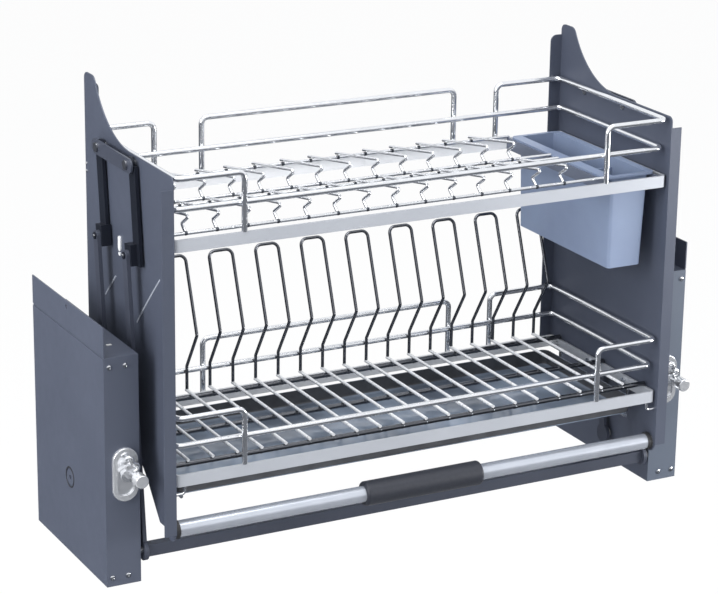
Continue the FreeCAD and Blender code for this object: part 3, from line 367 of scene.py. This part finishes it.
arm_slate = powder_coat("arm_slate", (0.048, 0.055, 0.078), (0.058, 0.066, 0.092))
for side in ("left", "right"):
    coat(arm_slate, side + "_front_arm_bar", side + "_rear_arm_bar")
coat(arm_slate, "sync_bar", "pivot_straps")
blade_black = powder_coat("blade_black", (0.010, 0.012, 0.019), (0.014, 0.017, 0.026), 0.15)
coat(blade_black, "front_blades", "rear_blades", "front_lap_bolts", "rear_lap_bolts")
coat(bright_zinc("dull_zinc", (0.40, 0.41, 0.44), 0.30), "upper_pivot_bolts")
coat(zinc, "basket_screws")
tag_zinc = chrome("tag_zinc", (0.96, 0.97, 0.98), 0.3, 0.25)
coat(tag_zinc, "stop_tags")

tip_profile = [(-0.0005, 0), (-0.0005, 0.0018), (0.0003, 0.0018), (0.0007, 0.0013), (0.0008, 0)]
for level in ("front", "rear"):
    low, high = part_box(level + "_lap_bolts")

    def bolt_tips(shape):
        for sign in (-1, 1):
            place = (sign * high[0], (low[1] + high[1]) / 2, (low[2] + high[2]) / 2)
            lathe(shape, tip_profile, place, (sign, 0, 0), 24)

    new_piece(level + "_lap_bolt_tips", bolt_tips, screw_zinc, level + "_arms")

# Side panels
# Pressed sheet steel in a coat slightly darker than the housings', with an outward flange at the
# front, two faint creases pressed into its outer face, each drawn as a thin pale line of painted
# highlight along its edge, and two small rivets near its rear edge.

panel_slate = powder_coat("panel_slate", (0.068, 0.079, 0.112), (0.077, 0.089, 0.125))
coat(panel_slate, "left_side_panel", "right_side_panel")
# The pale crease lines are painted highlight: thin pale rods laid on the panel face along each crease.
painted_crease_highlight = powder_coat("painted_crease_highlight", (0.34, 0.37, 0.43), (0.40, 0.43, 0.49))
panel_face = 0.3185
crease_x = panel_face + 0.0001
crease_radius = 0.0012
# Creases in millimetres behind the housings' front and above their foot, rear one first.
creases_mm = (
    ((145.9, 293.7), (130, 309), (114.9, 324.2)),
    ((54.2, 287.9), (45, 300), (-10.3, 355.5)),
)
for side, sign in (("left", -1), ("right", 1)):
    for number, crease in enumerate(creases_mm, 1):
        points = [(sign * crease_x, cover_face + y / 1000, z / 1000) for y, z in crease]
        name = side + "_panel_crease_highlight_%d" % number
        bent_rod(name, points, crease_radius, painted_crease_highlight, "baskets")

rivet_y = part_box("left_side_panel")[1][1] - 0.0035
rivet_rows = (0.4267, 0.4357)
rivet_profile = [(-0.0004, 0), (-0.0004, 0.0020), (0.0004, 0.0020), (0.0009, 0.0014), (0.0011, 0)]


def rear_rivets(shape):
    for sign in (-1, 1):
        for z in rivet_rows:
            lathe(shape, rivet_profile, (sign * panel_face, rivet_y, z), (sign, 0, 0), 24)


new_piece("panel_rear_rivets", rear_rivets, screw_zinc, "baskets")

# Baskets
# Flat bars in pale silver lacquer carry round wires of drawn steel, spot-welded and then chromed.
# The plate loops and their rods are chrome painted dark, as painted shade and dark reflection, the floor
# wires satin, and the rear of each bar ring painted paler, as painted light.

bar_steel, tree, shader = new_finish("bar_steel")
tint(tree, shader, noise(tree, 6.0), (0.44, 0.46, 0.50), (0.48, 0.50, 0.54))
dull(tree, shader, 20.0, 0.34, 0.40)
shader.inputs["Metallic"].default_value = 0.3
relief(tree, shader, noise(tree, 1200.0, 2.0), 0.01, 0.0001, 0.0004)
coat(bar_steel, "upper_basket_frame", "lower_basket_frame")
coat(powder_coat("rail_slate", (0.12, 0.14, 0.19), (0.14, 0.16, 0.215)), "box_rails")

# The rear band of each bar ring takes a paler, non-metal copy of the bar finish, as painted light.
rear_bar_painted_light, tree, shader = new_finish("rear_bar_painted_light")
tint(tree, shader, noise(tree, 6.0), (0.88, 0.89, 0.91), (0.92, 0.93, 0.95))
dull(tree, shader, 20.0, 0.34, 0.40)
relief(tree, shader, noise(tree, 1200.0, 2.0), 0.01, 0.0001)
painted_light_band = 0.006
for level in ("upper", "lower"):
    ring_bar = nodes[level + "_basket_frame"]
    ring_bar.data.materials.append(rear_bar_painted_light)
    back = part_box(level + "_basket_frame")[1][1] - painted_light_band
    for face in ring_bar.data.polygons:
        if (ring_bar.matrix_world @ face.center).y > back:
            face.material_index = 1

wire_chrome = chrome("wire_chrome", (0.90, 0.91, 0.93), 0.13, 0.95)
# This is the wire's chrome with its colour darkened, as painted shade and dark reflection on the plate loops
# and their rods.
chrome_painted_shade = chrome("chrome_painted_shade", (0.15, 0.155, 0.17), 0.16)
satin_chrome = chrome("satin_chrome", (0.90, 0.91, 0.93), 0.28, 0.35)
for level in ("upper", "lower"):
    coat(wire_chrome, level + "_top_rails", level + "_mid_rail", level + "_back_loop")
coat(wire_chrome, "bowl_rack_rods", "bowl_rack_wires", "tray_runners", "basket_hooks")
coat(satin_chrome, "plate_floor_wires")
coat(chrome_painted_shade, "plate_loops", "plate_rack_rods")

# The weld beads are real swellings, coloured dark as painted shade where the wires cross.
weld_painted_shade = bright_zinc("weld_painted_shade", (0.10, 0.11, 0.13), 0.45)
weld_half = 1.9
swelling_mm = (
    (-weld_half, 0.0), (-weld_half, 0.02), (-0.9, 0.25), (0.0, 0.38),
    (0.9, 0.25), (weld_half, 0.02), (weld_half, 0.0),
)
rod_gap = 0.004


def weld_beads(shape, places, wire_radius, along):
    """A swelling on the wire at each crossing, where the two wires were pressed together hot."""
    profile = []
    for reach, rise in swelling_mm:
        profile.append((reach / 1000, wire_radius + rise / 1000 if rise else 0))
    for place in places:
        lathe(shape, profile, place, along, 14)


def rod_centres(name, axis):
    """Middle places of a row of parallel rods, read from the piece itself."""
    piece = nodes[name]
    values = sorted((piece.matrix_world @ v.co)[axis] for v in piece.data.vertices)
    groups = [[values[0]]]
    for value in values[1:]:
        if value - groups[-1][-1] > rod_gap:
            groups.append([])
        groups[-1].append(value)
    return [(group[0] + group[-1]) / 2 for group in groups]


# Both rows of beads take a dark finish, as painted shade at each crossing.
for wires, rods, radius, finish in (
    ("bowl_rack_wires", "bowl_rack_rods", 0.0020, weld_painted_shade),
    ("plate_floor_wires", "plate_rack_rods", 0.0030, chrome_painted_shade),
):
    low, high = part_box(rods)
    height = (low[2] + high[2]) / 2
    crossings = [(x, y, height) for x in rod_centres(wires, 0) for y in rod_centres(rods, 1)]

    def beads(shape):
        weld_beads(shape, crossings, radius, (1, 0, 0))

    new_piece(wires + "_welds", beads, finish, "baskets")

# Handle
# A chromed tube between the panels, with a soft foam sleeve at its middle and a black plastic collar
# at each end.

tube_chrome, tree, shader = new_finish("handle_chrome")
tint(tree, shader, noise(tree, 30.0), (0.52, 0.55, 0.61), (0.56, 0.59, 0.65), 0.35, 0.65)
dull(tree, shader, 30.0, 0.20, 0.23)
shader.inputs["Metallic"].default_value = 0.6
coat(tube_chrome, "handle_tube")

low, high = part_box("handle_tube")
tube_y = (low[1] + high[1]) / 2
tube_z = (low[2] + high[2]) / 2
tube_radius = (high[2] - low[2]) / 2
collar_inset = 0.0010
collar_bite = 0.0002
collar_section = [
    (0, 0), (0, 0.0012), (0.0005, 0.0016), (0.0050, 0.0016), (0.0055, 0.0012), (0.0055, 0), (0, 0),
]
collar_profile = [(reach, tube_radius - collar_bite + rise) for reach, rise in collar_section]
for side, end, inward in (("left", low[0], 1), ("right", high[0], -1)):

    def collar(shape):
        start = (end + inward * collar_inset, tube_y, tube_z)
        lathe(shape, collar_profile, start, (inward, 0, 0), 48)

    new_piece(side + "_handle_collar", collar, black_plastic, "baskets")

foam, tree, shader = new_finish("grip_foam")
tint(tree, shader, noise(tree, 250.0, 5.0), (0.014, 0.016, 0.025), (0.020, 0.023, 0.034))
shader.inputs["Roughness"].default_value = 0.50
shader.inputs["Sheen Weight"].default_value = 0.08
relief(tree, shader, noise(tree, 1600.0, 3.0), 0.15, 0.0004)
coat(foam, "handle_grip")

# Cutlery box
# Deep injection-moulded box of blue-grey plastic. It hangs by its rim between two rails of the
# upper basket and lifts out.

box_plastic, tree, shader = new_finish("box_plastic")
tint(tree, shader, noise(tree, 14.0), (0.19, 0.235, 0.345), (0.22, 0.275, 0.395))
dull(tree, shader, 90.0, 0.30, 0.42)
shader.inputs["Subsurface Weight"].default_value = 0.08
shader.inputs["Subsurface Radius"].default_value = (0.004, 0.005, 0.008)
relief(tree, shader, noise(tree, 1400.0), 0.05, 0.0002)
coat(box_plastic, "cutlery_box")

# Drip tray
# Shallow tray of smoked, glossy plastic under the lower basket, with a slightly wavy floor from the
# mould, pale patches in its floor colour as painted reflection, and walls painted darker as painted
# shade. It slides out to the front on the runners.

# The floor colour wanders from dark to pale in broad patches, as painted reflection.
tray_plastic, tree, shader = new_finish("tray_plastic")
tint(tree, shader, noise(tree, 9.0, 2.0), (0.105, 0.128, 0.168), (0.27, 0.33, 0.42), 0.36, 0.64)
shader.inputs["Roughness"].default_value = 0.10
relief(tree, shader, noise(tree, 22.0, 1.0), 0.35, 0.004)
coat(tray_plastic, "drip_tray")

# The walls take a darker copy of the tray plastic, as painted shade on its upright faces.
tray_wall_painted_shade, tree, shader = new_finish("tray_wall_painted_shade")
tint(tree, shader, noise(tree, 40.0), (0.060, 0.062, 0.068), (0.085, 0.088, 0.096))
shader.inputs["Roughness"].default_value = 0.22
relief(tree, shader, noise(tree, 120.0), 0.04, 0.0005)
tray = nodes["drip_tray"]
tray.data.materials.append(tray_wall_painted_shade)
for face in tray.data.polygons:
    if abs(face.normal.z) < 0.5:
        face.material_index = 1

# Floor, light and camera
# A white studio sweep with soft lamps above and at the sides, and dark cloth far behind the object,
# which only its mirrored surfaces can show. The rack hangs between a cabinet's walls, so the floor
# lies below the reach of its lowered baskets.


def shone(tree, kind, colour):
    """An emission or background shader, of a fixed colour or of one that other nodes work out."""
    source = tree.nodes.new(kind)
    if isinstance(colour, tuple):
        source.inputs["Color"].default_value = (*colour, 1)
    else:
        tree.links.new(colour, source.inputs["Color"])
    return source.outputs[0]


def switch(tree, factor, first, second):
    """The first shader where the factor is zero, and the second where it is one."""
    mix = tree.nodes.new("ShaderNodeMixShader")
    tree.links.new(factor, mix.inputs["Fac"])
    tree.links.new(first, mix.inputs[1])
    tree.links.new(second, mix.inputs[2])
    return mix.outputs["Shader"]


floor_half = 6
floor_z = -0.45
corners = [(-floor_half, -floor_half, 0), (floor_half, -floor_half, 0)]
corners += [(floor_half, floor_half, 0), (-floor_half, floor_half, 0)]
floor_mesh = bpy.data.meshes.new("studio_floor")
floor_mesh.from_pydata(corners, [], [(0, 1, 2, 3)])
floor = placed("studio_floor", floor_mesh)
floor.location.z = floor_z

floor_white, tree, shader = new_finish("studio_white")
shader.inputs["Base Color"].default_value = (0.90, 0.90, 0.90, 1)
shader.inputs["Roughness"].default_value = 0.9
rays = tree.nodes.new("ShaderNodeLightPath")
seen_share = tree.nodes.new("ShaderNodeMath")
seen_share.operation = "MULTIPLY"
seen_share.inputs[1].default_value = 0.92
tree.links.new(rays.outputs["Is Camera Ray"], seen_share.inputs[0])
white = shone(tree, "ShaderNodeEmission", (1, 1, 1))
cloth = shone(tree, "ShaderNodeEmission", (0.10, 0.11, 0.13))
shadowed = switch(tree, seen_share.outputs["Value"], shader.outputs["BSDF"], white)
whole = switch(tree, rays.outputs["Is Glossy Ray"], shadowed, cloth)
tree.links.new(whole, tree.nodes["Material Output"].inputs["Surface"])
floor_mesh.materials.append(floor_white)

world = bpy.data.worlds.new("studio_world")
world.use_nodes = True
bpy.context.scene.world = world
tree = world.node_tree
tree.nodes.clear()
coordinates = tree.nodes.new("ShaderNodeTexCoord")
facing = tree.nodes.new("ShaderNodeVectorMath")
facing.operation = "DOT_PRODUCT"
facing.inputs[1].default_value = (0.42, 0.83, -0.36)
tree.links.new(coordinates.outputs["Generated"], facing.inputs[0])
span = tree.nodes.new("ShaderNodeMapRange")
span.inputs["From Min"].default_value = -1
span.inputs["From Max"].default_value = 1
tree.links.new(facing.outputs["Value"], span.inputs["Value"])
apart = tree.nodes.new("ShaderNodeSeparateXYZ")
tree.links.new(coordinates.outputs["Generated"], apart.inputs["Vector"])
pale = (0.95, 0.97, 1.0)
sky = ramp(tree, span.outputs["Result"], 0.42, pale, 0.72, (0.03, 0.035, 0.045))
tent = ramp(tree, apart.outputs["Z"], 0.02, (0.30, 0.31, 0.34), 0.16, pale)
rays = tree.nodes.new("ShaderNodeLightPath")
lit = shone(tree, "ShaderNodeBackground", sky)
mirrored = shone(tree, "ShaderNodeBackground", tent)
seen = shone(tree, "ShaderNodeBackground", (1, 1, 1))
unseen = switch(tree, rays.outputs["Is Glossy Ray"], lit, mirrored)
whole = switch(tree, rays.outputs["Is Camera Ray"], unseen, seen)
out = tree.nodes.new("ShaderNodeOutputWorld")
tree.links.new(whole, out.inputs["Surface"])


def soft_lamp(name, place, aim, size, power):
    lamp = bpy.data.lights.new(name, "AREA")
    lamp.shape = "RECTANGLE"
    lamp.size, lamp.size_y = size
    lamp.energy = power
    holder = placed(name, lamp)
    holder.location = place
    holder.rotation_mode = "QUATERNION"
    holder.rotation_quaternion = (Vector(aim) - Vector(place)).to_track_quat("-Z", "Y")


centre = (0, 0, 0.27)
soft_lamp("lamp_above", (-0.3, -0.4, 2.6), centre, (2.4, 1.6), 42)
soft_lamp("lamp_left", (-2.1, -0.5, 1.0), centre, (0.9, 1.2), 36)
soft_lamp("lamp_front_right", (1.50, -0.95, 0.22), (0.40, 0, 0.15), (0.7, 0.4), 16)

view = bpy.data.cameras.new("photo_camera")
view.lens = 127.45
view.sensor_width = 36
view.sensor_fit = "HORIZONTAL"
view.clip_end = 100
camera = placed("photo_camera", view)
stand = (-1.35746, -2.51085, 1.19285)
turn = math.radians(-27.961)
tilt = math.radians(-18.027)
roll = math.radians(0.834)
ahead = Vector((-math.sin(turn) * math.cos(tilt), math.cos(turn) * math.cos(tilt), math.sin(tilt)))
across = Vector((math.cos(turn), math.sin(turn), 0))
upward = across.cross(ahead)
right = across * math.cos(roll) + upward * math.sin(roll)
up = upward * math.cos(roll) - across * math.sin(roll)
camera.matrix_world = Matrix((
    (right.x, up.x, -ahead.x, stand[0]),
    (right.y, up.y, -ahead.y, stand[1]),
    (right.z, up.z, -ahead.z, stand[2]),
    (0, 0, 0, 1),
))
bpy.context.scene.camera = camera
bpy.context.scene.view_settings.view_transform = "Standard"
